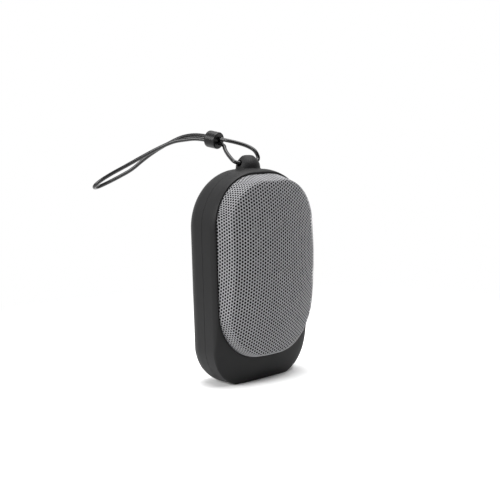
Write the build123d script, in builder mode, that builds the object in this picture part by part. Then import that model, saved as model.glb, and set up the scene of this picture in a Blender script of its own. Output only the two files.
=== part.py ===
from build123d import *
import math
import os

# A small sealed speaker for a shower. Millimetres, +Z up, the grille faces -Y.
# The origin is at the middle of the foot, on the surface that the speaker stands on.

os.makedirs("parts", exist_ok=True)

# ---- driving dimensions -------------------------------------------------------------
# An outline is (half width, low end, high end, upper corner radius, lower corner radius).
HEIGHT = 112.0  # housing, without the lug
FOOT_CUT = 1.3  # how much of the round foot is cut flat to stand on
WIDEST = (32.8, -FOOT_CUT, HEIGHT, 30.0, 21.5)
RIM = (31.6, 12.2, 110.3, 26.1, 28.2)
BACK_Y = 20.2  # back face
WIDEST_Y = -1.3  # where the front rounding meets the straight side
RIM_Y = -4.7  # front rim of the housing
ROUNDING_POWER = 1.6  # superellipse power of the front rounding
ROUNDING_STEPS = 6
BACK_ROUND = 9.6

BAFFLE_FRONT = -3.4
BAFFLE_BACK = -1.4
BACK_WALL = 17.8  # inner face of the back wall
SEAM_GROOVE = 0.15  # width of the parting line
SEAM_GROOVE_DEPTH = 0.2

GRILLE_GAP = 0.3  # dark line round the grille
GRILLE_INSET = 0.6  # lip of the housing round the recess
CLOTH = 0.7
CARRIER = 1.3
APEX_Y = -20.2
CROWN_Z = 68.2
CROWN_X_RADIUS = 74.0
CROWN_Z_RADIUS = 185.0
CROWN_REACH = 40.0
WALL_TAPER = 14.5
CREASE = 1.3
CREASE_LEAST = 0.4
CARRIER_HOLE = 2.9
CARRIER_HOLES = (5, 9)  # columns and rows
CARRIER_HOLE_SPACING = 4.2

LUG_Y = 5.3
SEAM_Y = LUG_Y  # the two shells meet in the middle of the lug
LUG_RADIUS = 6.5
LUG_SHOULDER = 112.4
LUG_TOP = 119.3
LUG_ROOT = 103.0
LUG_FILLET = 0.8
HOLE_Z = 115.0
HOLE_RADIUS = 1.75

DRIVER_Z = 72.0
BOARD_FRONT = 11.1
BOARD_BACK = 12.1
CORD_DIAMETER = 2.1


def level(y):
    """The upright plane at depth y; its sketches read (x, z) and extrude forwards, to -Y."""
    return Plane.XZ.offset(-y)


def outline(shape, inset=0.0, mode=Mode.ADD):
    """Draws an outline in the sketch that is open, inset by a distance."""
    half_width, low, high, top_corner, low_corner = shape
    width = 2 * (half_width - inset)
    top_end = high - top_corner
    low_end = low + low_corner
    with Locations((0, (low_end + top_end) / 2)):
        Rectangle(width, top_end - low_end, mode=mode)
    for centre, corner in ((top_end - 0.5, top_corner - inset), (low_end + 0.5, low_corner - inset)):
        with Locations((0, centre)):
            RectangleRounded(width, 2 * corner + 1, corner, mode=mode)


def blend(share):
    """The housing's outline between its rim (0) and its widest place (1)."""
    return [a + (b - a) * share for a, b in zip(RIM, WIDEST)]


# ---- outer shape of the housing, before it is split ---------------------------------
with BuildPart() as housing_shape:
    for step in range(ROUNDING_STEPS + 1):
        turn = math.pi / 2 * step / ROUNDING_STEPS
        back_off = math.cos(turn) ** (2 / ROUNDING_POWER)
        share = math.sin(turn) ** (2 / ROUNDING_POWER)
        with BuildSketch(level(WIDEST_Y + (RIM_Y - WIDEST_Y) * back_off)):
            outline(blend(share))
    loft()
    with BuildSketch(level(WIDEST_Y)):
        outline(WIDEST)
    extrude(amount=WIDEST_Y - BACK_Y)
    fillet(housing_shape.faces().sort_by(Axis.Y)[-1].edges(), BACK_ROUND)
    split(bisect_by=Plane.XY, keep=Keep.TOP)
    # lug: a domed post on the top, blended into the housing, with a cross hole
    with BuildSketch(Plane.YZ):
        with BuildLine():
            l1 = Line((LUG_Y, LUG_ROOT), (LUG_Y + LUG_RADIUS, LUG_ROOT))
            l2 = Line(l1 @ 1, (LUG_Y + LUG_RADIUS, LUG_SHOULDER))
            l3 = Spline(
                l2 @ 1,
                (LUG_Y + 5.9, LUG_SHOULDER + 3.0),
                (LUG_Y + 3.7, LUG_TOP - 1.0),
                (LUG_Y, LUG_TOP),
                tangents=[(0, 1), (-1, 0)],
            )
            Line(l3 @ 1, l1 @ 0)
        make_face()
    revolve(axis=Axis((0, LUG_Y, 0), (0, 0, 1)))
    base_edges = housing_shape.edges(Select.NEW).filter_by_position(Axis.Z, LUG_ROOT + 2, HEIGHT + 0.2)
    fillet(base_edges, LUG_FILLET)
    with BuildSketch(Plane.YZ):
        with Locations((LUG_Y, HOLE_Z)):
            Circle(HOLE_RADIUS)
    extrude(amount=10, both=True, mode=Mode.SUBTRACT)

# ---- the room behind the baffle, in each shell --------------------------------------
ROOM = (30.4, 3.2, 109.2, 27.6, 19.0)
FRONT_ROOM = (30.4, 5.2, 109.2, 27.6, 19.0)
ROOM_ROUND = 7.5
with BuildPart() as rear_room:
    with BuildSketch(level(SEAM_Y)):
        outline(ROOM)
    extrude(amount=SEAM_Y - BACK_WALL)
    fillet(rear_room.faces().sort_by(Axis.Y)[-1].edges(), ROOM_ROUND)

SHELL_SCREWS = [(16.1, 25.8), (25.4, 52.0), (17.0, 97.0)]
SHELL_SCREWS += [(-x, z) for x, z in SHELL_SCREWS]
SCREW_RADIUS = 1.25
BOSS_RADIUS = 3.0
DRIVER_SCREW_RADIUS = 0.9
DRIVER_SCREW_CIRCLE = 19.9
SCREW_DEPTH = 7.5  # how far a shell screw reaches into its boss
DRIVER_HOLE_RADIUS = 17.4

# ---- front shell: bezel, chin and baffle in one moulding -----------------------------
with BuildPart() as front_shell:
    add(housing_shape.part)
    split(bisect_by=level(SEAM_Y), keep=Keep.TOP)
    with BuildSketch(level(SEAM_Y)):
        outline(FRONT_ROOM)
    extrude(amount=SEAM_Y - BAFFLE_BACK, mode=Mode.SUBTRACT)
    with BuildSketch(level(RIM_Y)):
        outline(RIM, GRILLE_INSET)
    extrude(amount=RIM_Y - BAFFLE_FRONT, mode=Mode.SUBTRACT)
    # parting line: a fine step round the edge that meets the rear shell
    with BuildSketch(level(SEAM_Y)):
        outline(WIDEST, -0.1)
        outline(WIDEST, SEAM_GROOVE_DEPTH, Mode.SUBTRACT)
    extrude(amount=SEAM_GROOVE, mode=Mode.SUBTRACT)
    with Locations(level(BAFFLE_FRONT)):
        with Locations((0, DRIVER_Z)):
            Hole(DRIVER_HOLE_RADIUS)
            with PolarLocations(DRIVER_SCREW_CIRCLE, 4, start_angle=45):
                Hole(DRIVER_SCREW_RADIUS)
        with Locations(*SHELL_SCREWS):
            Hole(SCREW_RADIUS)
front_shell.part.label = "front_shell"

# ---- rear shell: tub with bosses, board posts, and the back's openings ---------------
BUTTONS = {
    "volume_down_button": (-14.0, 36.0, 5.0),
    "play_button": (0.0, 36.0, 5.0),
    "volume_up_button": (14.0, 36.0, 5.0),
    "power_button": (0.0, 48.5, 4.0),
}
BUTTON_CLEARANCE = 0.1
BOARD_POSTS = [(17.0, 47.5), (-17.0, 47.5), (12.5, 13.5), (-12.5, 13.5)]
BOARD_SCREW_RADIUS = 0.8
POST_RADIUS = 2.0
FLAP_LOW = 11.5
FLAP_HIGH = 20.5
FLAP_HALF_WIDTH = 8.5
FLAP_FLOOR = 18.8
FLAP_GAP = 0.15
PORT_Z = 16.0
LAMP_PLACE = (8.0, 48.5)
MIC_PLACE = (-8.0, 48.5)
SEAL_INNER = -0.6
SEAL_OUTER = -1.4
SEAL_DEPTH = 0.8

with BuildPart() as rear_shell:
    add(housing_shape.part)
    split(bisect_by=level(SEAM_Y), keep=Keep.BOTTOM)
    add(rear_room.part, mode=Mode.SUBTRACT)
    # screw bosses up to the baffle, and posts for the board
    with BuildSketch(level(BACK_WALL + 0.5)):
        with Locations(*SHELL_SCREWS):
            Circle(BOSS_RADIUS)
    extrude(amount=BACK_WALL + 0.5 - BAFFLE_BACK)
    with BuildSketch(level(BACK_WALL + 0.5)):
        with Locations(*BOARD_POSTS):
            Circle(POST_RADIUS)
    extrude(amount=BACK_WALL + 0.5 - BOARD_BACK)
    with BuildSketch(level(BAFFLE_BACK)):
        with Locations(*SHELL_SCREWS):
            Circle(SCREW_RADIUS)
    extrude(amount=-SCREW_DEPTH - 0.5, mode=Mode.SUBTRACT)
    with BuildSketch(level(BOARD_BACK)):
        with Locations(*BOARD_POSTS):
            Circle(BOARD_SCREW_RADIUS)
    extrude(amount=-4, mode=Mode.SUBTRACT)
    # the openings in the back wall
    with BuildSketch(level(BACK_WALL - 0.5)):
        for x, z, radius in BUTTONS.values():
            with Locations((x, z)):
                Circle(radius + BUTTON_CLEARANCE)
        with Locations(LAMP_PLACE):
            Circle(1.0)
        with Locations(MIC_PLACE):
            Circle(0.6)
        with Locations((0, PORT_Z)):
            RectangleRounded(9.4, 3.7, 1.8)
    extrude(amount=-4, mode=Mode.SUBTRACT)
    with BuildSketch(level(FLAP_FLOOR)):
        with Locations((0, (FLAP_LOW + FLAP_HIGH) / 2)):
            RectangleRounded(2 * FLAP_HALF_WIDTH + 2 * FLAP_GAP, FLAP_HIGH - FLAP_LOW + 2 * FLAP_GAP, 0.3)
    extrude(amount=-3, mode=Mode.SUBTRACT)
    # groove for the seal, in the edge that meets the front shell
    with BuildSketch(level(SEAM_Y)):
        outline(ROOM, SEAL_OUTER)
        outline(ROOM, SEAL_INNER, Mode.SUBTRACT)
    extrude(amount=-SEAL_DEPTH, mode=Mode.SUBTRACT)
rear_shell.part.label = "rear_shell"


# ---- seal between the shells ---------------------------------------------------------
with BuildPart() as shell_seal:
    with BuildSketch(level(SEAM_Y)):
        outline(ROOM, SEAL_OUTER)
        outline(ROOM, SEAL_INNER, Mode.SUBTRACT)
    extrude(amount=-SEAL_DEPTH)
shell_seal.part.label = "shell_seal"


# ---- grille: a pierced carrier under a knitted cloth ---------------------------------
def pillow(inset):
    """The crowned pillow of the grille, drawn inset by a distance."""
    with BuildPart() as shape:
        with BuildSketch(level(BAFFLE_FRONT)):
            outline(RIM, GRILLE_INSET + GRILLE_GAP + inset)
        extrude(amount=BAFFLE_FRONT - RIM_Y)
        with BuildSketch(level(RIM_Y)):
            outline(RIM, GRILLE_INSET + GRILLE_GAP + inset)
        extrude(amount=RIM_Y - APEX_Y + 1, taper=WALL_TAPER)
        reach = CROWN_REACH
        edge_y = APEX_Y + inset + CROWN_X_RADIUS - math.sqrt(CROWN_X_RADIUS**2 - reach**2)
        with BuildSketch(Plane.XY.offset(CROWN_Z)):
            with BuildLine():
                ThreePointArc((-reach, edge_y), (0, APEX_Y + inset), (reach, edge_y))
                Polyline((reach, edge_y), (reach, 10), (-reach, 10), (-reach, edge_y))
            make_face()
        revolve(axis=Axis((0, APEX_Y + inset + CROWN_Z_RADIUS, CROWN_Z), (1, 0, 0)), mode=Mode.INTERSECT)
        crown = shape.faces().sort_by(Axis.Y)[0]
        fillet(crown.edges(), max(CREASE - inset, CREASE_LEAST))
    return shape.part


cloth_shape = pillow(0)
carrier_shape = pillow(CLOTH)
carrier_room = pillow(CLOTH + CARRIER)
with BuildPart() as grille_cloth:
    add(cloth_shape)
    add(carrier_shape, mode=Mode.SUBTRACT)
grille_cloth.part.label = "grille_cloth"

with BuildPart() as grille_carrier:
    add(carrier_shape)
    add(carrier_room, mode=Mode.SUBTRACT)
    with BuildSketch(level(APEX_Y - 1)):
        with Locations((0, CROWN_Z)):
            with HexLocations(CARRIER_HOLE_SPACING, *CARRIER_HOLES):
                Circle(CARRIER_HOLE)
    extrude(amount=APEX_Y - RIM_Y + 3, mode=Mode.SUBTRACT)
grille_carrier.part.label = "grille_carrier"

# ---- loudspeaker driver, on an axis along Y ------------------------------------------
DRIVER_AXIS = Axis((0, 0, DRIVER_Z), (0, 1, 0))
DRIVER_PLANE = Plane(origin=(0, 0, DRIVER_Z), x_dir=(1, 0, 0), z_dir=(0, 0, 1))
GASKET = 0.6
FLANGE_BACK = BAFFLE_FRONT - GASKET
FLANGE = 1.0
FLANGE_FRONT = FLANGE_BACK - FLANGE
FLANGE_RADIUS = 22.0
COIL_INNER = 6.25
COIL_OUTER = 6.65
POLE_RADIUS = 5.95
GAP_RADIUS = 6.95


def turned(points):
    """Revolves a closed profile of (radius, y) points about the driver's axis."""
    with BuildSketch(DRIVER_PLANE) as profile:
        with BuildLine():
            Polyline(*points, close=True)
        make_face()
    revolve(profile.sketch, axis=DRIVER_AXIS)


with BuildPart() as driver_gasket:
    turned([(17.6, FLANGE_BACK), (21.9, FLANGE_BACK), (21.9, BAFFLE_FRONT), (17.6, BAFFLE_FRONT)])
    with Locations(level(BAFFLE_FRONT)):
        with Locations((0, DRIVER_Z)):
            with PolarLocations(DRIVER_SCREW_CIRCLE, 4, start_angle=45):
                Hole(DRIVER_SCREW_RADIUS)

with BuildPart() as driver_basket:
    bucket = [(17.0, FLANGE_FRONT), (FLANGE_RADIUS, FLANGE_FRONT), (FLANGE_RADIUS, FLANGE_BACK)]
    bucket += [(17.2, FLANGE_BACK), (13.2, 3.9), (11.6, 5.0), (8.2, 5.0), (8.2, 4.3), (11.0, 4.3)]
    bucket += [(11.8, 3.5), (12.6, 3.5), (12.6, 3.0)]
    turned(bucket + [(15.9, -3.2)])
    with Locations(level(FLANGE_FRONT)):
        with Locations((0, DRIVER_Z)):
            with PolarLocations(DRIVER_SCREW_CIRCLE, 4, start_angle=45):
                Hole(DRIVER_SCREW_RADIUS, depth=FLANGE + 0.4)
    # four windows in the bucket
    with BuildSketch(level(2.6)):
        with Locations((0, DRIVER_Z)):
            with PolarLocations(15.5, 4):
                Rectangle(7, 12)
    extrude(amount=4.4, mode=Mode.SUBTRACT)

with BuildPart() as driver_top_plate:
    turned([(GAP_RADIUS, 5.0), (11.2, 5.0), (11.2, 6.6), (GAP_RADIUS, 6.6)])

with BuildPart() as driver_magnet:
    turned([(8.0, 6.6), (11.6, 6.6), (11.6, 9.8), (8.0, 9.8)])

with BuildPart() as driver_yoke:
    turned([(0, 4.8), (POLE_RADIUS, 4.8), (POLE_RADIUS, 9.8), (11.2, 9.8), (11.2, 11.2), (0, 11.2)])

with BuildPart() as voice_coil:
    turned([(COIL_INNER, 1.2), (COIL_OUTER, 1.2), (COIL_OUTER, 8.4), (COIL_INNER, 8.4)])

with BuildPart() as driver_cone:
    turned([(COIL_OUTER, 1.6), (COIL_OUTER, 2.2), (7.0, 2.2), (14.1, -4.6), (14.1, -5.1), (13.7, -5.1)])

with BuildPart() as driver_dust_cap:
    with BuildSketch(DRIVER_PLANE):
        with BuildLine():
            TangentArc((0, -1.6), (COIL_OUTER, 1.2), tangent=(1, 0))
            TangentArc((0, -1.2), (COIL_INNER, 1.2), tangent=(1, 0))
            Line((COIL_OUTER, 1.2), (COIL_INNER, 1.2))
            Line((0, -1.2), (0, -1.6))
        make_face()
    revolve(axis=DRIVER_AXIS)

with BuildPart() as driver_surround:
    with BuildSketch(DRIVER_PLANE):
        with BuildLine():
            Line((13.2, -5.1), (14.3, -5.1))
            ThreePointArc((14.3, -5.1), (15.6, -6.2), (16.9, FLANGE_FRONT))
            Polyline((16.9, FLANGE_FRONT), (18.0, FLANGE_FRONT), (18.0, -5.5), (17.2, -5.5))
            ThreePointArc((17.2, -5.5), (15.6, -6.7), (14.0, -5.5))
            Polyline((14.0, -5.5), (13.2, -5.5), (13.2, -5.1))
        make_face()
    revolve(axis=DRIVER_AXIS)

with BuildPart() as driver_spider:
    turned([(COIL_OUTER, 3.0), (12.6, 3.0), (12.6, 3.3), (COIL_OUTER, 3.3)])

SCREW_HEAD_RADIUS = 1.8
with BuildPart() as driver_screws:
    for step in range(4):
        turn = math.radians(45 + 90 * step)
        place = (DRIVER_SCREW_CIRCLE * math.cos(turn), DRIVER_Z + DRIVER_SCREW_CIRCLE * math.sin(turn))
        with BuildSketch(level(FLANGE_FRONT)):
            with Locations(place):
                Circle(SCREW_HEAD_RADIUS)
        extrude(amount=1.1)
        with BuildSketch(level(FLANGE_FRONT)):
            with Locations(place):
                Circle(DRIVER_SCREW_RADIUS)
        extrude(amount=FLANGE_FRONT - BAFFLE_BACK)

with BuildPart() as shell_screws:
    with BuildSketch(level(BAFFLE_FRONT)):
        with Locations(*SHELL_SCREWS):
            Circle(2.2)
    extrude(amount=1.5)
    with BuildSketch(level(BAFFLE_FRONT)):
        with Locations(*SHELL_SCREWS):
            Circle(SCREW_RADIUS)
    extrude(amount=BAFFLE_FRONT - (BAFFLE_BACK + SCREW_DEPTH))

# ---- main board and what stands on it ------------------------------------------------
BOARD = (19.5, 10.5, 50.5, 6.0, 6.0)
with BuildPart() as main_board:
    with BuildSketch(level(BOARD_FRONT)):
        outline(BOARD)
        with Locations(*SHELL_SCREWS[0::3]):
            Circle(BOSS_RADIUS + 0.5, mode=Mode.SUBTRACT)
        with Locations(*BOARD_POSTS):
            Circle(BOARD_SCREW_RADIUS, mode=Mode.SUBTRACT)
    extrude(amount=BOARD_FRONT - BOARD_BACK)

with BuildPart() as board_screws:
    with BuildSketch(level(BOARD_FRONT)):
        with Locations(*BOARD_POSTS):
            Circle(1.5)
    extrude(amount=1.0)
    with BuildSketch(level(BOARD_FRONT)):
        with Locations(*BOARD_POSTS):
            Circle(BOARD_SCREW_RADIUS)
    extrude(amount=-4.4)

with BuildPart() as radio_module:
    with BuildSketch(level(BOARD_FRONT)):
        with Locations((0, 40)):
            RectangleRounded(14, 12, 0.8)
    extrude(amount=1.6)

SWITCH_BODY_END = BOARD_BACK + 1.5
PLUNGER_END = BOARD_BACK + 2.3
with BuildPart() as tact_switches:
    for x, z, radius in BUTTONS.values():
        with BuildSketch(level(BOARD_BACK)):
            with Locations((x, z)):
                RectangleRounded(5.2, 5.2, 0.5)
        extrude(amount=BOARD_BACK - SWITCH_BODY_END)
        with BuildSketch(level(SWITCH_BODY_END)):
            with Locations((x, z)):
                Circle(1.2)
        extrude(amount=SWITCH_BODY_END - PLUNGER_END)

SOCKET_MOUTH = FLAP_FLOOR - 0.1
SOCKET_FLOOR = BOARD_BACK + 1.0
with BuildPart() as usb_socket:
    with BuildSketch(level(BOARD_BACK)):
        with Locations((0, PORT_Z)):
            RectangleRounded(9.0, 3.3, 1.6)
    extrude(amount=BOARD_BACK - SOCKET_MOUTH)
    with BuildSketch(level(SOCKET_MOUTH)):
        with Locations((0, PORT_Z)):
            RectangleRounded(8.4, 2.6, 1.29)
    extrude(amount=SOCKET_MOUTH - SOCKET_FLOOR, mode=Mode.SUBTRACT)
    with BuildSketch(level(SOCKET_FLOOR)):
        with Locations((0, PORT_Z)):
            Rectangle(6.7, 0.7)
    extrude(amount=SOCKET_FLOOR - (SOCKET_MOUTH - 1.6))

LAMP_HEIGHT = 0.6
with BuildPart() as status_led:
    with BuildSketch(level(BOARD_BACK)):
        with Locations(LAMP_PLACE):
            Rectangle(1.6, 1.2)
    extrude(amount=-LAMP_HEIGHT)

with BuildPart() as light_pipe:
    with BuildSketch(level(BOARD_BACK + LAMP_HEIGHT + 0.2)):
        with Locations(LAMP_PLACE):
            Circle(1.0)
    extrude(amount=BOARD_BACK + LAMP_HEIGHT + 0.2 - (BACK_Y + 0.1))

with BuildPart() as microphone:
    with BuildSketch(level(BOARD_BACK)):
        with Locations(MIC_PLACE):
            Rectangle(3.8, 3.0)
    extrude(amount=-1.1)

# ---- battery, stuck behind the baffle ------------------------------------------------
with BuildPart() as battery_pad:
    with BuildSketch(level(BAFFLE_BACK)):
        with Locations((0, 30)):
            Rectangle(22, 34)
    extrude(amount=-1.0)

with BuildPart() as battery:
    with BuildSketch(level(BAFFLE_BACK + 1.0)):
        with Locations((0, 30)):
            RectangleRounded(25, 40, 1.5)
    extrude(amount=-5.6)
    fillet(battery.edges().filter_by(GeomType.LINE).filter_by(Axis.Z), 1.2)


# ---- buttons in the back --------------------------------------------------------------
BUTTON_PROUD = 0.5
BUTTON_INNER = BACK_WALL - 1.3
STEM_END = PLUNGER_END + 0.35
buttons = []
for name, (x, z, radius) in BUTTONS.items():
    with BuildPart() as button:
        with BuildSketch(level(BACK_Y + BUTTON_PROUD)):
            with Locations((x, z)):
                Circle(radius)
        extrude(amount=BACK_Y + BUTTON_PROUD - BUTTON_INNER)
        fillet(button.faces().sort_by(Axis.Y)[-1].edges(), 0.4)
        with BuildSketch(level(BUTTON_INNER + 1.0)):
            with Locations((x, z)):
                Circle(radius + 0.9)
        extrude(amount=1.0)
        with BuildSketch(level(BUTTON_INNER)):
            with Locations((x, z)):
                Circle(1.2)
        extrude(amount=BUTTON_INNER - STEM_END)
    button.part.label = name
    buttons.append(button)

# ---- port flap, hinged along its lower edge ------------------------------------------
HINGE_RADIUS = 0.65
HINGE_Y = FLAP_FLOOR + HINGE_RADIUS + 0.02
HINGE_Z = FLAP_LOW + HINGE_RADIUS
with BuildPart() as port_flap:
    with BuildSketch(Plane.YZ):
        with Locations((HINGE_Y, HINGE_Z)):
            Circle(HINGE_RADIUS)
        with Locations((HINGE_Y, (HINGE_Z + FLAP_HIGH) / 2)):
            Rectangle(2 * HINGE_RADIUS, FLAP_HIGH - HINGE_Z)
    extrude(amount=FLAP_HALF_WIDTH, both=True)
    fillet(port_flap.edges().filter_by(Axis.Y).sort_by(Axis.Z)[-2:], 0.6)
    with BuildSketch(level(HINGE_Y)):
        with Locations((0, PORT_Z - 0.05)):
            RectangleRounded(7.9, 1.7, 0.84)
    extrude(amount=HINGE_Y - (FLAP_FLOOR - 1.3))
port_flap.part.label = "port_flap"

# ---- strap: one cord through the lug, round the far end and back through the bead ----
ROUTE = [
    (0.0, 5.3, 115.0),
    (-8.2, 5.3, 115.0),
    (-6.6, 12.1, 118.3),
    (-4.3, 18.8, 122.2),
    (-1.4, 22.6, 125.1),
    (-5.0, 40.2, 128.5),
    (-9.1, 48.2, 127.7),
    (-12.2, 54.1, 126.9),
    (-17.3, 61.8, 123.2),
    (-23.0, 68.9, 118.8),
    (-29.3, 75.2, 114.1),
    (-36.1, 80.9, 109.7),
    (-41.5, 84.7, 105.8),
    (-43.5, 87.8, 102.8),
    (-38.6, 94.0, 101.4),
    (-33.4, 90.6, 103.9),
    (-28.1, 85.2, 107.5),
    (-23.0, 79.1, 111.5),
    (-19.0, 73.6, 116.9),
    (-14.3, 66.0, 122.6),
    (-10.0, 57.0, 127.2),
    (-7.5, 50.2, 129.8),
    (-4.9, 39.8, 130.6),
    (-1.4, 22.2, 127.3),
    (2.7, 17.1, 125.8),
    (6.2, 11.6, 123.7),
    (8.0, 7.1, 120.8),
    (8.3, 5.3, 115.0),
    (0.0, 5.3, 115.0),
]


def corner_radii(route):
    """The largest tangent arc at each inner point: 0.45 of its shorter run."""
    radii = []
    for before, here, after in zip(route, route[1:], route[2:]):
        run_in = Vector(*here) - Vector(*before)
        run_out = Vector(*after) - Vector(*here)
        turn = math.radians(run_in.get_angle(run_out))
        radii.append(0.45 * min(run_in.length, run_out.length) / math.tan(turn / 2))
    return radii


END_GAP = 0.05
route = [(-END_GAP, *ROUTE[0][1:])] + ROUTE[1:-1] + [(END_GAP, *ROUTE[-1][1:])]
radii = corner_radii(route)
print("cord corner radii", [round(r, 1) for r in radii])
with BuildPart() as strap_cord:
    with BuildLine():
        path = FilletPolyline(*route, radius=radii)
    with BuildSketch(Plane(origin=path @ 0, z_dir=path % 0)):
        Circle(CORD_DIAMETER / 2)
    sweep(path=path)
cord_volume = math.pi * (CORD_DIAMETER / 2) ** 2 * path.length
print("cord length", round(path.length, 2), "volume ratio", round(strap_cord.part.volume / cord_volume, 5))
strap_cord.part.label = "strap_cord"

# ---- bead: a short slider with an oval hole, on both strands --------------------------
BEAD_Y = 29.4
BEAD_LENGTH = 7.2
BEAD_RADIUS = 4.6
BEAD_HOLE = (4.7, 2.5)


def on_run(start, end, y):
    """The point of a straight run that has the given y."""
    share = (y - start[1]) / (end[1] - start[1])
    return Vector(*start) + (Vector(*end) - Vector(*start)) * share


lower_strand = on_run(ROUTE[4], ROUTE[5], BEAD_Y)
upper_strand = on_run(ROUTE[23], ROUTE[22], BEAD_Y)
bead_axis = (Vector(*ROUTE[5]) - Vector(*ROUTE[4])).normalized()
bead_plane = Plane(
    origin=(lower_strand + upper_strand) * 0.5,
    x_dir=upper_strand - lower_strand,
    z_dir=bead_axis,
)
with BuildPart() as strap_bead:
    with BuildSketch(bead_plane.offset(-BEAD_LENGTH / 2)):
        Circle(BEAD_RADIUS)
    extrude(amount=BEAD_LENGTH)
    fillet(strap_bead.edges(), 0.7)
    with BuildSketch(bead_plane.offset(-BEAD_LENGTH)):
        RectangleRounded(*BEAD_HOLE, BEAD_HOLE[1] / 2 - 0.01)
    extrude(amount=2 * BEAD_LENGTH, mode=Mode.SUBTRACT)
print("strands apart", round((upper_strand - lower_strand).length, 2), "bead axis", bead_axis)

# ---- leads inside: the driver's and the battery's ------------------------------------
LEAD_RADIUS = 0.5
LEAD_SPACING = 1.6
DRIVER_LEAD = [(13.6, 4.3, 61.2), (12.6, 7.0, 57.6), (11.2, 8.8, 53.6), (9.2, 9.6, 49.6), (8.6, 10.6, 47.0)]
BATTERY_LEAD = [(-10.2, 3.0, 50.1), (-10.0, 3.2, 52.6), (-9.6, 6.4, 53.6), (-9.3, 9.4, 51.6), (-9.2, 10.6, 47.6)]

leads = []
for name, run_points in (("driver_leads", DRIVER_LEAD), ("battery_leads", BATTERY_LEAD)):
    with BuildPart() as lead_pair:
        for side in (-0.5, 0.5):
            points = [(x + side * LEAD_SPACING, y, z) for x, y, z in run_points]
            with BuildLine():
                run = FilletPolyline(*points, radius=corner_radii(points))
            with BuildSketch(Plane(origin=run @ 0, z_dir=run % 0)):
                Circle(LEAD_RADIUS)
            sweep(path=run)
    lead_pair.part.label = name
    leads.append(lead_pair)

# ---- files -----------------------------------------------------------------------------
pieces = {
    "front_shell": front_shell,
    "rear_shell": rear_shell,
    "shell_seal": shell_seal,
    "grille_carrier": grille_carrier,
    "grille_cloth": grille_cloth,
    "driver_gasket": driver_gasket,
    "driver_basket": driver_basket,
    "driver_top_plate": driver_top_plate,
    "driver_magnet": driver_magnet,
    "driver_yoke": driver_yoke,
    "voice_coil": voice_coil,
    "driver_cone": driver_cone,
    "driver_dust_cap": driver_dust_cap,
    "driver_surround": driver_surround,
    "driver_spider": driver_spider,
    "driver_screws": driver_screws,
    "shell_screws": shell_screws,
    "main_board": main_board,
    "board_screws": board_screws,
    "radio_module": radio_module,
    "tact_switches": tact_switches,
    "usb_socket": usb_socket,
    "status_led": status_led,
    "light_pipe": light_pipe,
    "microphone": microphone,
    "battery_pad": battery_pad,
    "battery": battery,
    "port_flap": port_flap,
    "strap_cord": strap_cord,
    "strap_bead": strap_bead,
}
pieces.update({piece.part.label: piece for piece in buttons + leads})
for name, piece in pieces.items():
    piece.part.label = name
    export_step(piece.part, f"parts/{name}.step")
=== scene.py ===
import logging
import math
from dataclasses import dataclass
from enum import Enum
from typing import Any, Optional, Sequence

import bmesh
import bpy
import numpy as np
from mathutils import Matrix, Vector
from mathutils.bvhtree import BVHTree


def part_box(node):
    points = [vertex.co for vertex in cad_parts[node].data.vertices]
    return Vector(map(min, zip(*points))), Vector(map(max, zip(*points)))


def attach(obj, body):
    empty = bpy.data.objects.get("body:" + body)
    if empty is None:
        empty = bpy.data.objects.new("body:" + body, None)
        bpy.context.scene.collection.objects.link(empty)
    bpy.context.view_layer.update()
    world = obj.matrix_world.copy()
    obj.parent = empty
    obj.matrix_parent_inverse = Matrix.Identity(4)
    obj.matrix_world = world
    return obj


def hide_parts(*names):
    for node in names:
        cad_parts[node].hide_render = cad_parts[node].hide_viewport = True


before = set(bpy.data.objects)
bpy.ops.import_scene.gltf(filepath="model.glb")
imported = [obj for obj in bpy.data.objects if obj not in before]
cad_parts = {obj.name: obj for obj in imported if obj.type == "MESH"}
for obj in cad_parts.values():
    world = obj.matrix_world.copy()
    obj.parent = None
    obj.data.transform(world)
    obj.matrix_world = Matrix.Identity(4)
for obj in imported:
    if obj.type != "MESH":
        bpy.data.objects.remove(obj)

logging.basicConfig(level=logging.INFO, format="%(name)s: %(message)s")
LOG = logging.getLogger("shower_speaker")

MM = 0.001
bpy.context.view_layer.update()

Place = tuple[float, float, float]


# ---- colours and nodes ---------------------------------------------------------------


def linear(hex_colour: str) -> tuple[float, float, float, float]:
    """Turns an sRGB hex colour into linear RGBA.

    Args:
        hex_colour: Six hex digits, such as "8f8f8f".

    Returns:
        The colour's linear red, green and blue, and an alpha of one.
    """
    parts = [int(hex_colour[i : i + 2], 16) / 255 for i in (0, 2, 4)]
    values = [c / 12.92 if c <= 0.04045 else ((c + 0.055) / 1.055) ** 2.4 for c in parts]
    return (values[0], values[1], values[2], 1.0)


def add_node(
    tree: bpy.types.NodeTree,
    kind: str,
    inputs: Optional[dict[Any, Any]] = None,
    **settings: Any,
) -> bpy.types.Node:
    """Adds a node to a tree, with its settings, values and links.

    Args:
        tree: The node tree that the node joins.
        kind: Blender's name for the node's type.
        inputs: Socket name or index to a value, or to the socket that feeds it.
        **settings: The node's own properties.

    Returns:
        The new node.
    """
    made = tree.nodes.new(kind)
    for name, value in settings.items():
        setattr(made, name, value)
    for key, value in (inputs or {}).items():
        if isinstance(value, bpy.types.NodeSocket):
            tree.links.new(value, made.inputs[key])
        else:
            made.inputs[key].default_value = value
    return made


# ---- finishes --------------------------------------------------------------------------


class Grain(Enum):
    """How a surface's fine relief is made."""

    PEBBLE = "pebble"
    CLOTH = "cloth"
    BRUSHED = "brushed"


# brushed lines run along Y, so their pattern is stretched there
BRUSHED_SCALE = (1.0, 0.06, 1.0)
CLOTH_RANDOMNESS = 0.35
# a fine speckle makes the relief, and a wide blotch moves the colour between its two shades
SPECKLE_DETAIL, SPECKLE_ROUGHNESS = 3.0, 0.6
BLOTCH_DETAIL, BLOTCH_ROUGHNESS = 4.0, 0.55
# how far the gloss moves either way over the relief
GLOSS_SWING = 0.05
SHEEN_ROUGHNESS = 0.5


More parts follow.
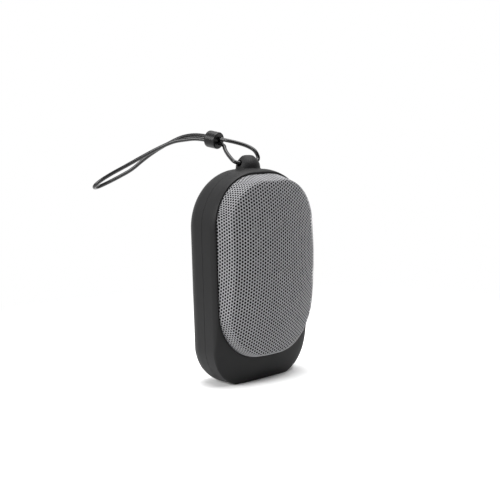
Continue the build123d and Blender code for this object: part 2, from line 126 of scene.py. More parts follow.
@dataclass(frozen=True)
class Finish:
    """One real finish: its colour, its gloss, and a relief of a real size."""

    name: str
    colour: str
    shade: str
    roughness: float
    metallic: float = 0.0
    ior: float = 1.5
    grain: Grain = Grain.PEBBLE
    grain_mm: float = 0.3
    relief_mm: float = 0.01
    sheen: float = 0.0
    coat: float = 0.0
    coat_roughness: float = 0.1
    blotch_mm: float = 9.0

    def relief(self, tree: bpy.types.NodeTree, place: bpy.types.NodeSocket) -> bpy.types.NodeSocket:
        """Makes the height pattern of this finish.

        Args:
            tree: The material's tree.
            place: The socket that gives Object coordinates, in metres.

        Returns:
            The socket of the height, from 0 to 1.
        """
        if self.grain is Grain.BRUSHED:
            stretched = add_node(tree, "ShaderNodeMapping", {"Vector": place, "Scale": BRUSHED_SCALE})
            place = stretched.outputs["Vector"]
        if self.grain is Grain.CLOTH:
            weave = add_node(
                tree,
                "ShaderNodeTexVoronoi",
                {"Vector": place, "Scale": 1 / (self.grain_mm * MM), "Randomness": CLOTH_RANDOMNESS},
                feature="SMOOTH_F1",
            )
            return weave.outputs["Distance"]
        speckle = add_node(
            tree,
            "ShaderNodeTexNoise",
            {
                "Vector": place,
                "Scale": 1 / (self.grain_mm * MM),
                "Detail": SPECKLE_DETAIL,
                "Roughness": SPECKLE_ROUGHNESS,
            },
        )
        return speckle.outputs["Fac"]

    def material(self) -> bpy.types.Material:
        """Builds the finish's material, once, and hands back the same one afterwards.

        Returns:
            The material.
        """
        made = bpy.data.materials.get(self.name)
        if made is not None:
            return made
        made = bpy.data.materials.new(self.name)
        made.use_nodes = True
        tree = made.node_tree
        tree.nodes.clear()
        place = add_node(tree, "ShaderNodeTexCoord").outputs["Object"]
        blotch = add_node(
            tree,
            "ShaderNodeTexNoise",
            {
                "Vector": place,
                "Scale": 1 / (self.blotch_mm * MM),
                "Detail": BLOTCH_DETAIL,
                "Roughness": BLOTCH_ROUGHNESS,
            },
        )
        tint = add_node(
            tree,
            "ShaderNodeMix",
            {"Factor": blotch.outputs["Fac"], 6: linear(self.colour), 7: linear(self.shade)},
            data_type="RGBA",
        )
        height = self.relief(tree, place)
        gloss = add_node(
            tree,
            "ShaderNodeMapRange",
            {
                "Value": height,
                "To Min": self.roughness - GLOSS_SWING,
                "To Max": self.roughness + GLOSS_SWING,
            },
        )
        bump = add_node(
            tree,
            "ShaderNodeBump",
            {"Height": height, "Distance": self.relief_mm * MM, "Strength": 1.0},
        )
        shader = add_node(
            tree,
            "ShaderNodeBsdfPrincipled",
            {
                "Base Color": tint.outputs[2],
                "Metallic": self.metallic,
                "Roughness": gloss.outputs["Result"],
                "IOR": self.ior,
                "Normal": bump.outputs["Normal"],
                "Sheen Weight": self.sheen,
                "Sheen Roughness": SHEEN_ROUGHNESS,
                "Coat Weight": self.coat,
                "Coat Roughness": self.coat_roughness,
            },
        )
        add_node(tree, "ShaderNodeOutputMaterial", {"Surface": shader.outputs["BSDF"]})
        return made


# Thermoplastic elastomer moulded over ABS: a dead matt black that greys softly where light grazes it.
SOFT_TOUCH = Finish(
    "soft_touch_elastomer", "111112", "0f0f10", 0.55,
    ior=1.31, grain_mm=0.22, relief_mm=0.004, sheen=0.02,
)
# Silicone rubber: a little darker and smoother than the skin round it, so the keys read as inserts.
SILICONE = Finish(
    "moulded_silicone", "202022", "1b1b1d", 0.5,
    ior=1.41, grain_mm=0.3, relief_mm=0.004, sheen=0.1,
)
# Solution-dyed polyester, warp knitted: mid-grey yarn with a soft fibre sheen.
KNIT = Finish(
    "warp_knit_polyester", "959597", "868689", 0.72,
    grain=Grain.CLOTH, grain_mm=0.16, relief_mm=0.05, sheen=0.08, blotch_mm=3.0,
)
# Glass-filled nylon, black, as moulded: the dark that shows through the knit.
NYLON = Finish("black_filled_nylon", "060606", "040404", 0.75, ior=1.3, grain_mm=0.4, relief_mm=0.01)
# Waxed polyester cord with a black coating: slick, with a long bright highlight along each strand.
WAXED_CORD = Finish(
    "coated_cord", "050506", "070708", 0.26,
    ior=1.4, grain_mm=1.2, relief_mm=0.001, coat=0.25, coat_roughness=0.1, blotch_mm=4.0,
)
# Moulded ABS: satin black, slightly glossier than the rubber.
SATIN_ABS = Finish("satin_abs", "0b0b0c", "09090a", 0.34, ior=1.38, grain_mm=0.5, relief_mm=0.003)
# Zinc-plated steel: bright grey, with the faint lines of rolling.
ZINC_STEEL = Finish(
    "zinc_plated_steel", "b4b6b8", "a2a4a6", 0.34,
    metallic=1.0, grain=Grain.BRUSHED, grain_mm=0.2, relief_mm=0.004,
)
# Black oxide on steel: the screws behind the grille, which stay dark behind the knit.
BLACK_OXIDE = Finish(
    "black_oxide_steel", "161618", "101011", 0.5,
    metallic=0.6, grain_mm=0.3, relief_mm=0.004,
)
# Tinned steel shield: paler and smoother.
TINNED = Finish(
    "tinned_steel", "c9c8c4", "bcbbb6", 0.28,
    metallic=1.0, grain=Grain.BRUSHED, grain_mm=0.15, relief_mm=0.003,
)
# Sintered ferrite: dull, nearly black ceramic.
FERRITE = Finish("sintered_ferrite", "2b2b2d", "1f1f21", 0.62, grain_mm=0.25, relief_mm=0.02)
# Powder-coated pressed steel: black with a fine orange peel.
POWDER = Finish("black_powder_coat", "121213", "0d0d0e", 0.5, grain_mm=0.6, relief_mm=0.02)
# Enamelled copper wire, wound close: orange metal with fine turns.
COPPER = Finish(
    "enamelled_copper", "b8683a", "a45a30", 0.3,
    metallic=1.0, grain=Grain.BRUSHED, grain_mm=0.2, relief_mm=0.03, coat=0.5,
)
# Mica-filled polypropylene: black satin cone.
POLYPROPYLENE = Finish(
    "mica_polypropylene", "161617", "202021", 0.42,
    grain_mm=0.5, relief_mm=0.01, blotch_mm=2.0,
)
# Phenolic-soaked cotton: honey-coloured woven spider.
PHENOLIC_COTTON = Finish(
    "phenolic_cotton", "9a7440", "86622f", 0.8,
    grain=Grain.CLOTH, grain_mm=0.35, relief_mm=0.05,
)
# FR4 under solder mask: green, half glossy, with the glass weave just showing.
SOLDER_MASK = Finish(
    "solder_mask_laminate", "0f5a2c", "0b4a24", 0.3,
    grain=Grain.CLOTH, grain_mm=0.6, relief_mm=0.006, coat=0.4,
)
# Aluminium laminate pouch: satin silver.
POUCH = Finish("pouch_laminate", "b9bcc2", "a7aab0", 0.36, metallic=0.85, grain_mm=0.8, relief_mm=0.02)
# PVC wire: smooth red.
RED_PVC = Finish("red_pvc", "a01818", "8c1212", 0.38, grain_mm=0.6, relief_mm=0.004)
# Frosted polycarbonate light pipe: milky and smooth.
FROSTED = Finish("frosted_polycarbonate", "d9dde0", "cfd3d6", 0.25, ior=1.58, grain_mm=0.5, relief_mm=0.002)
# Screen print ink, pale grey, thick enough to feel.
KEY_INK = Finish("key_print", "a6a6a8", "98989a", 0.55, grain_mm=0.3, relief_mm=0.004)

NODE_FINISHES = {
    "front_shell": SOFT_TOUCH,
    "rear_shell": SOFT_TOUCH,
    "shell_seal": SILICONE,
    "grille_carrier": NYLON,
    "driver_gasket": SILICONE,
    "driver_basket": POWDER,
    "driver_top_plate": ZINC_STEEL,
    "driver_magnet": FERRITE,
    "driver_yoke": ZINC_STEEL,
    "voice_coil": COPPER,
    "driver_cone": POLYPROPYLENE,
    "driver_dust_cap": POLYPROPYLENE,
    "driver_surround": SILICONE,
    "driver_spider": PHENOLIC_COTTON,
    "driver_screws": BLACK_OXIDE,
    "shell_screws": BLACK_OXIDE,
    "main_board": SOLDER_MASK,
    "board_screws": ZINC_STEEL,
    "radio_module": TINNED,
    "tact_switches": SATIN_ABS,
    "usb_socket": TINNED,
    "status_led": FROSTED,
    "light_pipe": FROSTED,
    "microphone": TINNED,
    "battery_pad": SILICONE,
    "battery": POUCH,
    "port_flap": SILICONE,
    "strap_bead": SATIN_ABS,
    "power_button": SILICONE,
    "play_button": SILICONE,
    "volume_up_button": SILICONE,
    "volume_down_button": SILICONE,
    "driver_leads": RED_PVC,
    "battery_leads": RED_PVC,
}


# ---- helpers on meshes -----------------------------------------------------------------


def new_object(name: str, data: Any) -> bpy.types.Object:
    """Links a new object, at the origin, to the scene.

    Args:
        name: The object's name.
        data: The mesh, curve, light or camera that it shows.

    Returns:
        The new object.
    """
    made = bpy.data.objects.new(name, data)
    bpy.context.scene.collection.objects.link(made)
    return made


def mesh_object(name: str, points: Sequence[Any], faces: Sequence[Sequence[int]]) -> bpy.types.Object:
    """Makes a mesh object from points and faces.

    Args:
        name: The object's name.
        points: The mesh's points, in metres.
        faces: The indices of each face's points.

    Returns:
        The new object, at the origin.
    """
    mesh = bpy.data.meshes.new(name)
    mesh.from_pydata([tuple(p) for p in points], [], [tuple(f) for f in faces])
    mesh.update()
    return new_object(name, mesh)


def smooth(piece: bpy.types.Object) -> None:
    """Shades every face of a mesh smooth."""
    piece.data.shade_smooth()


def outward(piece: bpy.types.Object) -> None:
    """Turns every face of a closed mesh to face outwards.

    Args:
        piece: The mesh object, which is changed in place.
    """
    work = bmesh.new()
    work.from_mesh(piece.data)
    bmesh.ops.recalc_face_normals(work, faces=work.faces)
    work.to_mesh(piece.data)
    work.free()


# ---- studio ------------------------------------------------------------------------------


@dataclass
class Studio:
    """The floor, the lights and the camera."""

    distance: float = 0.500
    azimuth: float = -41.52
    elevation: float = 7.39
    roll: float = -1.48
    aim_height: float = 0.056
    aim_depth: float = 0.00116
    # how far right of the frame's middle, and below it, the aim lies, as shares of the frame's width
    aim_right: float = 0.01176
    aim_low: float = 0.04874
    lens_mm: float = 67.6224
    sensor_mm: float = 36.0
    near_clip: float = 0.01
    # the room's light: full where the facing is below the first, dim where it is past the second
    full_facing: float = -0.6
    dim_facing: float = 0.5
    dim: float = 0.1
    # the floor turns from paper into light between these two distances from the object
    paper_near: float = 0.1
    paper_far: float = 0.3
    floor_reach: float = 3.0
    # each light's place, side and power
    key_light: tuple[Place, float, float] = ((-0.75, 0.15, 0.45), 0.45, 6.0)
    top_light: tuple[Place, float, float] = ((0.05, -0.05, 0.8), 0.7, 9.0)

    def camera(self) -> bpy.types.Object:
        """Places the camera where the object was seen from.

        Returns:
            The camera, which becomes the scene's own.
        """
        az, el, roll = (math.radians(v) for v in (self.azimuth, self.elevation, self.roll))
        back = Vector((math.sin(az) * math.cos(el), -math.cos(az) * math.cos(el), math.sin(el)))
        right = Vector((math.cos(az), math.sin(az), 0.0))
        up = back.cross(right)
        turned_right = right * math.cos(roll) + up * math.sin(roll)
        turned_up = up * math.cos(roll) - right * math.sin(roll)
        seen_width = self.sensor_mm / self.lens_mm * self.distance
        across, down = self.aim_right * seen_width, self.aim_low * seen_width
        aim = Vector((0.0, self.aim_depth, self.aim_height))
        place = aim + back * self.distance - turned_right * across + turned_up * down
        lens = bpy.data.cameras.new("camera")
        lens.sensor_width = self.sensor_mm
        lens.lens = self.lens_mm
        lens.clip_start = self.near_clip
        seen = new_object("camera", lens)
        axes = Matrix((turned_right, turned_up, back)).transposed()
        seen.matrix_world = Matrix.Translation(place) @ axes.to_4x4()
        bpy.context.scene.camera = seen
        return seen

    def lamp(self, name: str, place: Place, size: float, watts: float) -> bpy.types.Object:
        """Adds a square soft light that looks at the middle of the object.

        Args:
            name: The light's name.
            place: Where it stands, in metres.
            size: The length of its side, in metres.
            watts: Its power.

        Returns:
            The light.
        """
        data = bpy.data.lights.new(name, "AREA")
        data.size = size
        data.energy = watts
        lamp = new_object(name, data)
        lamp.location = place
        away = Vector(place) - Vector((0.0, 0.0, self.aim_height))
        lamp.rotation_euler = away.to_track_quat("Z", "Y").to_euler()
        return lamp

    def paper(self) -> bpy.types.Material:
        """Lights the paper from behind further out, so the floor and the room meet without a line.

        Returns:
            The floor's material.
        """
        made = FLOOR_PAPER.material()
        tree = made.node_tree
        output = next(n for n in tree.nodes if n.type == "OUTPUT_MATERIAL")
        place = add_node(tree, "ShaderNodeTexCoord").outputs["Object"]
        reach = add_node(tree, "ShaderNodeVectorMath", {0: place}, operation="LENGTH")
        share = add_node(
            tree,
            "ShaderNodeMapRange",
            {"Value": reach.outputs["Value"], "From Min": self.paper_near, "From Max": self.paper_far},
            interpolation_type="SMOOTHSTEP",
        )
        lit = add_node(tree, "ShaderNodeEmission", {"Color": linear("ffffff"), "Strength": 1.0})
        paper = output.inputs["Surface"].links[0].from_socket
        mixed = add_node(
            tree,
            "ShaderNodeMixShader",
            {0: share.outputs["Result"], 1: paper, 2: lit.outputs[0]},
        )
        tree.links.new(mixed.outputs[0], output.inputs["Surface"])
        return made

    def build(self) -> None:
        """Makes the floor, the white surroundings and the lights."""
        scene = bpy.context.scene
        scene.view_settings.view_transform = "Standard"
        world = bpy.data.worlds.new("white_room")
        scene.world = world
        world.use_nodes = True
        world.node_tree.nodes.clear()
        az = math.radians(self.azimuth)
        sky = world.node_tree
        direction = add_node(sky, "ShaderNodeTexCoord").outputs["Generated"]
        facing = add_node(
            sky,
            "ShaderNodeVectorMath",
            {0: direction, 1: (math.sin(az), -math.cos(az), 0.0)},
            operation="DOT_PRODUCT",
        )
        # the room is white behind and beside the object, and dim on the viewer's side
        strength = add_node(
            sky,
            "ShaderNodeMapRange",
            {
                "Value": facing.outputs["Value"],
                "From Min": self.full_facing,
                "From Max": self.dim_facing,
                "To Min": 1.0,
                "To Max": self.dim,
            },
        )
        # seen directly, the room is white all round
        direct = add_node(sky, "ShaderNodeLightPath").outputs["Is Camera Ray"]
        shown = add_node(
            sky,
            "ShaderNodeMath",
            {0: strength.outputs["Result"], 1: direct},
            operation="MAXIMUM",
        )
        glow = add_node(
            sky,
            "ShaderNodeBackground",
            {"Color": linear("ffffff"), "Strength": shown.outputs[0]},
        )
        add_node(sky, "ShaderNodeOutputWorld", {"Surface": glow.outputs["Background"]})
        reach = self.floor_reach
        floor = mesh_object(
            "floor",
            [(-reach, -reach, 0), (reach, -reach, 0), (reach, reach, 0), (-reach, reach, 0)],
            [(0, 1, 2, 3)],
        )
        floor.data.materials.append(self.paper())
        self.lamp("key", *self.key_light)
        self.lamp("top", *self.top_light)


# Seamless white studio paper: the shadow's soft edge is all that it shows.
FLOOR_PAPER = Finish("studio_paper", "fcfcfc", "fafafa", 0.9, grain_mm=2.0, relief_mm=0.01, blotch_mm=60.0)


# ---- housing -------------------------------------------------------------------------------


@dataclass
class Housing:
    """Every CAD node that keeps its own shape, dressed in its finish."""

    def dress(self) -> None:
        """Gives each CAD node its finish."""
        for name, finish in NODE_FINISHES.items():
            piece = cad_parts[name]
            piece.data.materials.clear()
            piece.data.materials.append(finish.material())
            LOG.info("%s dressed in %s", name, finish.name)


# ---- grille ----------------------------------------------------------------------------------


@dataclass
class Grille:
    """The knitted cloth: a staggered lattice of round holes draped over the pillow."""

    column_mm: float = 1.46
    row_mm: float = 1.75
    hole_mm: float = 0.62
    lip_mm: float = 0.1
    lay_degrees: float = 3.0
    top_corner_mm: float = 25.2
    low_corner_mm: float = 27.3
    rim_depth: float = -0.0047
    foot_depth: float = -0.0035
    columns: int = 61
    rows: int = 77
    # the hole's rolled edge: how far the patch's border, its lip, its crest and its inside lie back
    border_back_mm: float = 0.05
    lip_back_mm: float = -0.03
    crest_back_mm: float = 0.06
    inside_back_mm: float = 0.14
    inside_flare: float = 1.04
    # how fine the pillow's outline, its height grid and its flattened guide are
    corner_points: int = 25
    grid_columns: int = 121
    grid_rows: int = 189
    guide_around: int = 240
    guide_rings: int = 70
    # the guide runs from just inside the edge to a pinhole in the middle, as shares of the outline
    outer_share: float = 0.9995
    inner_share: float = 0.002
    # patches may hang this share of a row over the guide's edge
    overhang_rows: float = 0.25
    # points of neighbouring patches that lie closer than this, in metres, become one
    weld: float = 0.00002
    cast_from: float = -0.1

    def outline(self, share: float, count: int) -> list[tuple[float, float]]:
        """Walks round the pillow's edge, drawn in towards its middle.

        Args:
            share: 1 at the edge, 0 at the middle.
            count: How many points go round.

        Returns:
            The (x, z) points, in metres.
        """
        low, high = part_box("grille_cloth")
        mid_z = (low[2] + high[2]) / 2
        top, foot = self.top_corner_mm * MM, self.low_corner_mm * MM
        corners = [
            (1, high[2] - top, top),
            (-1, high[2] - top, top),
            (-1, low[2] + foot, foot),
            (1, low[2] + foot, foot),
        ]
        walk = []
        for quarter, (side, centre_z, corner) in enumerate(corners):
            for turn in np.linspace(quarter, quarter + 1, self.corner_points) * math.pi / 2:
                x = side * (high[0] - corner) + corner * math.cos(turn)
                walk.append((x, centre_z + corner * math.sin(turn)))
        path = np.array(walk + walk[:1])
        walked = np.concatenate([[0.0], np.cumsum(np.linalg.norm(np.diff(path, axis=0), axis=1))])
        steps = np.arange(count) / count * walked[-1]
        xs, zs = np.interp(steps, walked, path[:, 0]), np.interp(steps, walked, path[:, 1])
        return [(x * share, mid_z + (z - mid_z) * share) for x, z in zip(xs, zs)]

    def relief(self) -> tuple[np.ndarray, np.ndarray, np.ndarray, BVHTree]:
        """Reads the pillow's height over a fine grid.

        Returns:
            The grid's x and z values, the depth at each, and the tree that the depths were cast on.
        """
        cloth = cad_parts["grille_cloth"].data
        tree = BVHTree.FromPolygons([v.co for v in cloth.vertices], [p.vertices for p in cloth.polygons])
        low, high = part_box("grille_cloth")
        xs = np.linspace(low[0], high[0], self.grid_columns)
        zs = np.linspace(low[2], high[2], self.grid_rows)
        depth = np.full((len(xs), len(zs)), self.rim_depth)
        for i, x in enumerate(xs):
            for j, z in enumerate(zs):
                hit = tree.ray_cast(Vector((x, self.cast_from, z)), Vector((0, 1, 0)))[0]
                if hit is not None:
                    depth[i, j] = min(hit.y, self.rim_depth)
        return xs, zs, depth, tree

    def guide(self) -> bpy.types.Object:
        """Flattens the pillow, keeping each point's true place and normal as attributes.

        Returns:
            A flat mesh whose points know where they lie on the pillow.
        """
        xs, zs, depth, tree = self.relief()
        along_x = np.hypot(np.diff(xs)[:, None], np.diff(depth, axis=0))
        along_z = np.hypot(np.diff(zs)[None, :], np.diff(depth, axis=1))
        flat_x = np.vstack([np.zeros((1, len(zs))), np.cumsum(along_x, axis=0)])
        flat_x -= flat_x[len(xs) // 2]
        flat_z = np.hstack([np.zeros((len(xs), 1)), np.cumsum(along_z, axis=1)])
        flat_z -= flat_z[:, len(zs) // 2][:, None]

        def read(grid: np.ndarray, x: float, z: float) -> float:
            """Reads a grid between its points.

            Args:
                grid: A value at each of the grid's points.
                x: Where to read, across the pillow, in metres.
                z: Where to read, up the pillow, in metres.

            Returns:
                The value there.
            """
            a = np.clip((x - xs[0]) / (xs[1] - xs[0]), 0, len(xs) - 1.001)
            b = np.clip((z - zs[0]) / (zs[1] - zs[0]), 0, len(zs) - 1.001)
            i, j = int(a), int(b)
            p, q = a - i, b - j
            low_row = grid[i, j] * (1 - q) + grid[i, j + 1] * q
            high_row = grid[i + 1, j] * (1 - q) + grid[i + 1, j + 1] * q
            return float(low_row * (1 - p) + high_row * p)

        around, rings = self.guide_around, self.guide_rings
        flat, drape, lift = [], [], []
        for ring in range(rings + 1):
            share = self.outer_share * (1 - ring / rings) + self.inner_share * ring / rings
            for x, z in self.outline(share, around):
                hit, normal, _, _ = tree.ray_cast(Vector((x, self.cast_from, z)), Vector((0, 1, 0)))
                if hit is None:
                    hit, normal = Vector((x, self.rim_depth, z)), Vector((0, -1, 0))
                flat.append((read(flat_x, x, z), 0.0, read(flat_z, x, z)))
                drape.append(tuple(hit))
                lift.append(tuple(normal if normal.y < 0 else -normal))
        edge = self.outline(1.0, around)
        skirt = self.rim_depth - self.foot_depth
        for step, (x, z) in enumerate(edge):
            before, after = edge[step - 1], edge[(step + 1) % around]
            out = Vector((after[1] - before[1], 0.0, before[0] - after[0])).normalized()
            flat.append(tuple(Vector(flat[step]) + out * abs(skirt)))
            drape.append((x, self.foot_depth, z))
            lift.append(tuple(out))
        faces = []
        order = [rings + 1] + list(range(rings + 1))
        for outer, inner in zip(order, order[1:]):
            for step in range(around):
                following = (step + 1) % around
                edge_out = (outer * around + step, outer * around + following)
                edge_in = (inner * around + following, inner * around + step)
                faces.append(edge_out + edge_in)
        guide = mesh_object("cloth_guide", flat, faces)
        for name, values in (("drape", drape), ("lift", lift)):
            layer = guide.data.attributes.new(name, "FLOAT_VECTOR", "POINT")
            layer.data.foreach_set("vector", np.array(values, dtype=np.float32).ravel())
        return guide

    def cell(self) -> bpy.types.Object:
        """Makes one mesh of the knit: a six-sided patch with a round, rolled hole.

        Returns:
            The patch, flat in XZ, with its face to -Y.
        """
        c, p = self.column_mm, self.row_mm
        wide = (c * c + p * p / 4) / (2 * c)
        narrow = (c * c - p * p / 4) / (2 * c)
        corners = [
            (wide, 0),
            (narrow, p / 2),
            (-narrow, p / 2),
            (-wide, 0),
            (-narrow, -p / 2),
            (narrow, -p / 2),
        ]
        border = []
        for here, after in zip(corners, corners[1:] + corners[:1]):
            border += [here, ((here[0] + after[0]) / 2, (here[1] + after[1]) / 2)]
        rings = [[(x, self.border_back_mm, z) for x, z in border]]
        roll = (
            (self.hole_mm + self.lip_mm, self.lip_back_mm),
            (self.hole_mm, self.crest_back_mm),
            (self.hole_mm * self.inside_flare, self.inside_back_mm),
        )
        for radius, depth in roll:
            ring = []
            for x, z in border:
                turn = math.atan2(z, x)
                ring.append((radius * math.cos(turn), depth, radius * math.sin(turn)))
            rings.append(ring)
        points = [(x * MM, y * MM, z * MM) for ring in rings for x, y, z in ring]
        count = len(border)
        faces = []
        for ring in range(len(rings) - 1):
            for step in range(count):
                following = (step + 1) % count
                a, b = ring * count + step, ring * count + following
                faces.append((a, b, b + count, a + count))
        return mesh_object("knit_cell", points, faces)

    def tree(self) -> bpy.types.NodeTree:
        """Builds the node tree that lays the knit out flat and drapes it.

        Returns:
            The tree, with named inputs for its sizes.
        """
        tree = bpy.data.node_groups.new("draped_knit", "GeometryNodeTree")
        face = tree.interface
        face.new_socket("Geometry", in_out="INPUT", socket_type="NodeSocketGeometry")
        for name, kind in (
            ("Guide", "NodeSocketObject"),
            ("Cell", "NodeSocketObject"),
            ("Column spacing", "NodeSocketFloat"),
            ("Row pitch", "NodeSocketFloat"),
            ("Lay", "NodeSocketFloat"),
            ("Overhang", "NodeSocketFloat"),
            ("Yarn", "NodeSocketMaterial"),
        ):
            face.new_socket(name, in_out="INPUT", socket_type=kind)
        face.new_socket("Geometry", in_out="OUTPUT", socket_type="NodeSocketGeometry")
        given = add_node(tree, "NodeGroupInput").outputs
        guide = add_node(tree, "GeometryNodeObjectInfo", {"Object": given["Guide"]}).outputs["Geometry"]
        cell = add_node(tree, "GeometryNodeObjectInfo", {"Object": given["Cell"]}).outputs["Geometry"]
        columns, rows = self.columns, self.rows
        width = add_node(
            tree,
            "ShaderNodeMath",
            {0: given["Column spacing"], 1: columns - 1.0},
            operation="MULTIPLY",
        )
        tall = add_node(
            tree,
            "ShaderNodeMath",
            {0: given["Row pitch"], 1: rows - 1.0},
            operation="MULTIPLY",
        )
        grid = add_node(
            tree,
            "GeometryNodeMeshGrid",
            {
                "Size X": width.outputs[0],
                "Size Y": tall.outputs[0],
                "Vertices X": columns,
                "Vertices Y": rows,
            },
        )
        spot = add_node(tree, "GeometryNodeInputPosition").outputs[0]
        place = add_node(tree, "ShaderNodeSeparateXYZ", {0: spot})
        index = add_node(tree, "GeometryNodeInputIndex").outputs[0]
        column = add_node(tree, "ShaderNodeMath", {0: index, 1: float(rows)}, operation="DIVIDE")
        whole = add_node(tree, "ShaderNodeMath", {0: column.outputs[0]}, operation="FLOOR")
        odd = add_node(tree, "ShaderNodeMath", {0: whole.outputs[0], 1: 2.0}, operation="FLOORED_MODULO")
        stagger = add_node(tree, "ShaderNodeMath", {0: odd.outputs[0], 1: 0.5}, operation="MULTIPLY")
        shift = add_node(
            tree,
            "ShaderNodeMath",
            {0: stagger.outputs[0], 1: given["Row pitch"]},
            operation="MULTIPLY",
        )
        height = add_node(tree, "ShaderNodeMath", {0: place.outputs[1], 1: shift.outputs[0]})
        upright = add_node(tree, "ShaderNodeCombineXYZ", {0: place.outputs[0], 2: height.outputs[0]})
        turned = add_node(
            tree,
            "ShaderNodeVectorRotate",
            {"Vector": upright.outputs[0], "Angle": given["Lay"]},
            rotation_type="Y_AXIS",
        )
        laid = add_node(
            tree,
            "GeometryNodeSetPosition",
            {"Geometry": grid.outputs["Mesh"], "Position": turned.outputs[0]},
        )
        spots = add_node(tree, "GeometryNodeMeshToPoints", {"Mesh": laid.outputs[0]})
        gap = add_node(tree, "GeometryNodeProximity", {0: guide}, target_element="FACES")
        outside = add_node(
            tree,
            "FunctionNodeCompare",
            {0: gap.outputs["Distance"], 1: given["Overhang"]},
            operation="GREATER_THAN",
            data_type="FLOAT",
        )
        kept = add_node(
            tree,
            "GeometryNodeDeleteGeometry",
            {"Geometry": spots.outputs[0], "Selection": outside.outputs[0]},
            domain="POINT",
        )
        spin = add_node(tree, "ShaderNodeCombineXYZ", {1: given["Lay"]})
        knit = add_node(
            tree,
            "GeometryNodeInstanceOnPoints",
            {"Points": kept.outputs[0], "Instance": cell, "Rotation": spin.outputs[0]},
        )
        real = add_node(tree, "GeometryNodeRealizeInstances", {0: knit.outputs[0]})
        joined = add_node(
            tree,
            "GeometryNodeMergeByDistance",
            {"Geometry": real.outputs[0], "Distance": self.weld},
        )
        here = add_node(tree, "GeometryNodeInputPosition").outputs[0]
        spread = add_node(tree, "ShaderNodeSeparateXYZ", {0: here})
        flat = add_node(tree, "ShaderNodeCombineXYZ", {0: spread.outputs[0], 2: spread.outputs[2]})
        read = []
        for name in ("drape", "lift"):
            value = add_node(
                tree,
                "GeometryNodeInputNamedAttribute",
                {"Name": name},
                data_type="FLOAT_VECTOR",
            )
            sample = add_node(
                tree,
                "GeometryNodeSampleNearestSurface",
                {"Mesh": guide, "Value": value.outputs[0], "Sample Position": flat.outputs[0]},
                data_type="FLOAT_VECTOR",
            )
            read.append(sample.outputs[0])
        rise = add_node(tree, "ShaderNodeMath", {0: spread.outputs[1], 1: -1.0}, operation="MULTIPLY")
        unit = add_node(tree, "ShaderNodeVectorMath", {0: read[1]}, operation="NORMALIZE")
        offset = add_node(
            tree,
            "ShaderNodeVectorMath",
            {0: unit.outputs[0], "Scale": rise.outputs[0]},
            operation="SCALE",
        )
        worn = add_node(tree, "ShaderNodeVectorMath", {0: read[0], 1: offset.outputs[0]})
        draped = add_node(
            tree,
            "GeometryNodeSetPosition",
            {"Geometry": joined.outputs[0], "Position": worn.outputs[0]},
        )
        dyed = add_node(
            tree,
            "GeometryNodeSetMaterial",
            {"Geometry": draped.outputs[0], "Material": given["Yarn"]},
        )
        add_node(tree, "NodeGroupOutput", {0: dyed.outputs[0]})
        return tree

    def build(self) -> bpy.types.Object:
        """Drapes the knit and lets it stand for the CAD cloth.

        Returns:
            The finished cloth.
        """
        guide, cell = self.guide(), self.cell()
        seed = mesh_object("grille_seed", [(0, 0, 0)], [])
        modifier = seed.modifiers.new("draped_knit", "NODES")
        modifier.node_group = self.tree()
        values = {
            "Guide": guide,
            "Cell": cell,
            "Column spacing": self.column_mm * MM,
            "Row pitch": self.row_mm * MM,
            "Lay": math.radians(self.lay_degrees),
            "Overhang": self.row_mm * MM * self.overhang_rows,
            "Yarn": KNIT.material(),
        }
        for item in modifier.node_group.interface.items_tree:
            if item.in_out == "INPUT" and item.name in values:
                modifier[item.identifier] = values[item.name]
        graph = bpy.context.evaluated_depsgraph_get()
        mesh = bpy.data.meshes.new_from_object(seed.evaluated_get(graph), depsgraph=graph)
        for helper in (seed, guide, cell):
            bpy.data.objects.remove(helper)
        cloth = new_object("knitted_grille", mesh)
        smooth(cloth)
        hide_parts("grille_cloth")
        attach(cloth, "housing")
        LOG.info("knitted_grille has %d faces", len(mesh.polygons))
        return cloth


# ---- keys ----------------------------------------------------------------------------------------


class Mark(Enum):
    """The generic mark on each key."""

    PLUS = "plus"
    MINUS = "minus"
    PLAY = "play"
    POWER = "power"


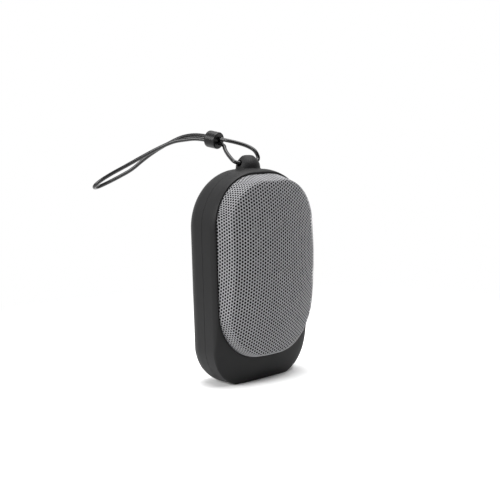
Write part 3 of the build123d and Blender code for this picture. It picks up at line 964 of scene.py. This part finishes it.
@dataclass
class Keys:
    """The marks printed on the four keys; each one moves with its key."""

    stroke_mm: float = 0.55
    reach_mm: float = 1.7
    proud_mm: float = 0.06
    sunk_mm: float = 0.15
    # play: a triangle and two bars, of the same half height
    play_half_mm: float = 1.1
    play_tip_mm: float = 1.9
    bar_mm: float = 0.5
    bar_starts_mm: tuple[float, float] = (0.5, 1.4)
    # power: an open ring and an upright stroke in its gap
    ring_mm: float = 1.5
    ring_steps: int = 12
    ring_from_degrees: float = 125
    ring_turn_degrees: float = 290
    stroke_low_mm: float = 0.2
    stroke_high_mm: float = 1.9

    def shapes(self, mark: Mark) -> list[list[tuple[float, float]]]:
        """Draws a mark as flat outlines.

        Args:
            mark: Which mark to draw.

        Returns:
            Outlines of (x, z) points in millimetres, about the key's middle, none of which overlap.
        """
        half, reach = self.stroke_mm / 2, self.reach_mm
        if mark is Mark.MINUS:
            return [[(-reach, -half), (reach, -half), (reach, half), (-reach, half)]]
        if mark is Mark.PLUS:
            arm = [(reach, -half), (reach, half), (half, half), (half, reach), (-half, reach), (-half, half)]
            return [arm + [(-x, -z) for x, z in arm]]
        if mark is Mark.PLAY:
            tall, wide = self.play_half_mm, self.bar_mm
            bars = [[(x, -tall), (x + wide, -tall), (x + wide, tall), (x, tall)] for x in self.bar_starts_mm]
            return bars + [[(-self.play_tip_mm, -tall), (0.0, 0.0), (-self.play_tip_mm, tall)]]
        ring = []
        steps = range(self.ring_steps + 1)
        for radius, turns in ((self.ring_mm, steps), (self.ring_mm - self.stroke_mm, reversed(steps))):
            for step in turns:
                turn = math.radians(self.ring_from_degrees + self.ring_turn_degrees * step / self.ring_steps)
                ring.append((radius * math.cos(turn), radius * math.sin(turn)))
        low, high = self.stroke_low_mm, self.stroke_high_mm
        return [ring, [(-half, low), (half, low), (half, high), (-half, high)]]

    def build(self) -> list[bpy.types.Object]:
        """Makes the four marks, each on the back face of its key.

        Returns:
            The marks.
        """
        places = {
            "volume_down_button": Mark.MINUS,
            "play_button": Mark.PLAY,
            "volume_up_button": Mark.PLUS,
            "power_button": Mark.POWER,
        }
        made = []
        for key, mark in places.items():
            low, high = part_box(key)
            middle = ((low[0] + high[0]) / 2, (low[2] + high[2]) / 2)
            points, faces = [], []
            for shape in self.shapes(mark):
                start, count = len(points), len(shape)
                for depth in (high[1] - self.sunk_mm * MM, high[1] + self.proud_mm * MM):
                    # seen from behind, +X lies to the left
                    points += [(middle[0] - x * MM, depth, middle[1] + z * MM) for x, z in shape]
                faces.append([start + step for step in range(count)])
                faces.append([start + count + step for step in reversed(range(count))])
                for step in range(count):
                    after = (step + 1) % count
                    faces.append((start + step, start + count + step, start + count + after, start + after))
            piece = mesh_object(f"{mark.value}_mark", points, faces)
            outward(piece)
            piece.data.materials.append(KEY_INK.material())
            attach(piece, key)
            LOG.info("%s rides on %s", piece.name, key)
            made.append(piece)
        return made


# ---- strap -------------------------------------------------------------------------------------


@dataclass
class Strap:
    """The cord through the lug; the bead on it stays a CAD node."""

    diameter: float = 0.0021
    length: float = 0.2424
    exit_x: float = -0.006
    # how smoothly the cord bends, and how round it is
    order: int = 3
    spans: int = 10
    roundness: int = 5
    route_mm: tuple[tuple[float, float, float], ...] = (
        (-0.05, 5.3, 115.0),
        (-8.2, 5.3, 115.0),
        (-6.6, 12.1, 118.3),
        (-4.3, 18.8, 122.2),
        (-1.4, 22.6, 125.1),
        (-5.0, 40.2, 128.5),
        (-9.1, 48.2, 127.7),
        (-12.2, 54.1, 126.9),
        (-17.3, 61.8, 123.2),
        (-23.0, 68.9, 118.8),
        (-29.3, 75.2, 114.1),
        (-36.1, 80.9, 109.7),
        (-41.5, 84.7, 105.8),
        (-43.5, 87.8, 102.8),
        (-38.6, 94.0, 101.4),
        (-33.4, 90.6, 103.9),
        (-28.1, 85.2, 107.5),
        (-23.0, 79.1, 111.5),
        (-19.0, 73.6, 116.9),
        (-14.3, 66.0, 122.6),
        (-10.0, 57.0, 127.2),
        (-7.5, 50.2, 129.8),
        (-4.9, 39.8, 130.6),
        (-1.4, 22.2, 127.3),
        (2.7, 17.1, 125.8),
        (6.2, 11.6, 123.7),
        (8.0, 7.1, 120.8),
        (8.3, 5.3, 115.0),
        (0.05, 5.3, 115.0),
    )

    def build(self) -> bpy.types.Object:
        """Returns:
            The cord.
        """
        curve = bpy.data.curves.new("lanyard_cord", "CURVE")
        curve.dimensions = "3D"
        spline = curve.splines.new("NURBS")
        spline.points.add(len(self.route_mm) - 1)
        for point, (x, y, z) in zip(spline.points, self.route_mm):
            point.co = (x * MM, y * MM, z * MM, 1.0)
        spline.order_u = self.order
        spline.use_endpoint_u = True
        spline.resolution_u = self.spans
        curve.bevel_depth = self.diameter / 2
        curve.bevel_resolution = self.roundness
        curve.use_fill_caps = True
        curve.materials.append(WAXED_CORD.material())
        cord = new_object("lanyard_cord", curve)
        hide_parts("strap_cord")
        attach(cord, "strap")
        LOG.info("lanyard_cord laid over %d points", len(self.route_mm))
        return cord


# ---- all of it -----------------------------------------------------------------------------------


def main() -> None:
    """Builds the cord, the studio, the housing's looks, the grille and the keys, in that order."""
    studio = Studio()
    studio.camera()
    Strap().build()
    studio.build()
    Housing().dress()
    Grille().build()
    Keys().build()


if __name__ == "__main__":
    main()
